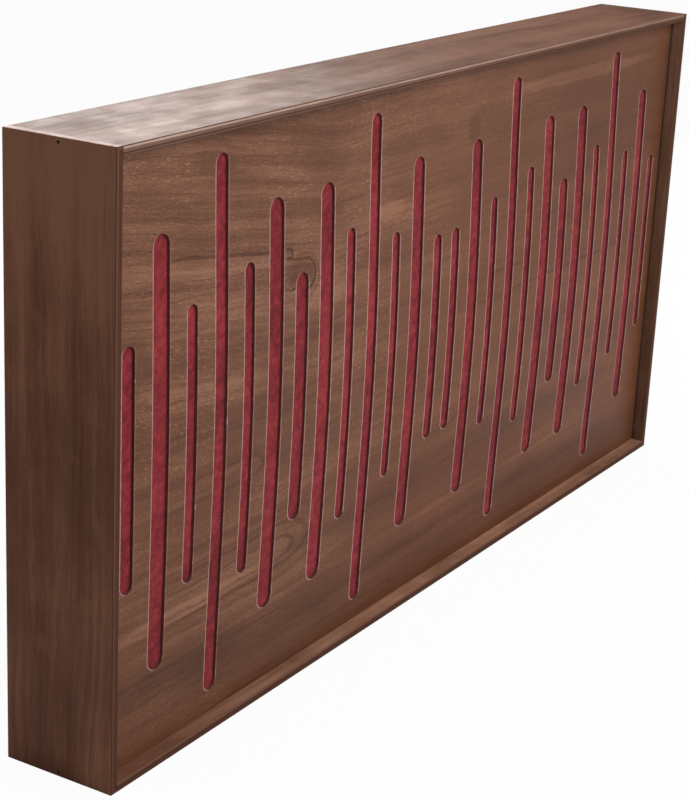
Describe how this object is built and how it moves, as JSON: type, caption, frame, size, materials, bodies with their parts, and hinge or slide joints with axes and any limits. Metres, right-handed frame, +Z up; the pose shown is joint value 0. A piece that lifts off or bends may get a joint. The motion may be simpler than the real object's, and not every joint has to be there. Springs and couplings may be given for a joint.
{
  "type": "wooden acoustic absorber panel",
  "caption": "Shallow stained plywood box with a recessed slotted wooden face over red felt and a mineral wool core, stood on edge or hung on a wall to absorb sound.",
  "frame": {"origin": "middle of the underside, on the surface the panel stands on", "axes": "+X along the panel's length, -Y out of the slotted face, +Z up"},
  "size_m": [1.2, 0.123, 0.6],
  "materials": {
    "frame_plywood": "satin stain",
    "face_plywood": "satin stain",
    "red_felt": "matte",
    "mineral_wool": "matte",
    "softwood": "sawn",
    "back_board": "plain",
    "zinc_steel": "satin"
  },
  "bodies": {
    "root": {"left_side_board": "frame_plywood", "right_side_board": "frame_plywood", "bottom_board": "frame_plywood", "top_board": "frame_plywood", "slotted_face_panel": "face_plywood", "felt_cloth": "red_felt", "front_batten_bottom": "softwood", "front_batten_top": "softwood", "front_batten_left": "softwood", "front_batten_right": "softwood", "rear_batten_bottom": "softwood", "rear_batten_left": "softwood", "rear_batten_right": "softwood", "wool_slab_1": "mineral_wool", "wool_slab_2": "mineral_wool", "hanging_rail": "softwood", "hanger_plate_left": "zinc_steel", "hanger_plate_right": "zinc_steel", "back_panel": "back_board", "hanger_screws": "zinc_steel", "back_panel_staples": "zinc_steel", "corner_brads": "zinc_steel"}
  },
  "joints": []
}
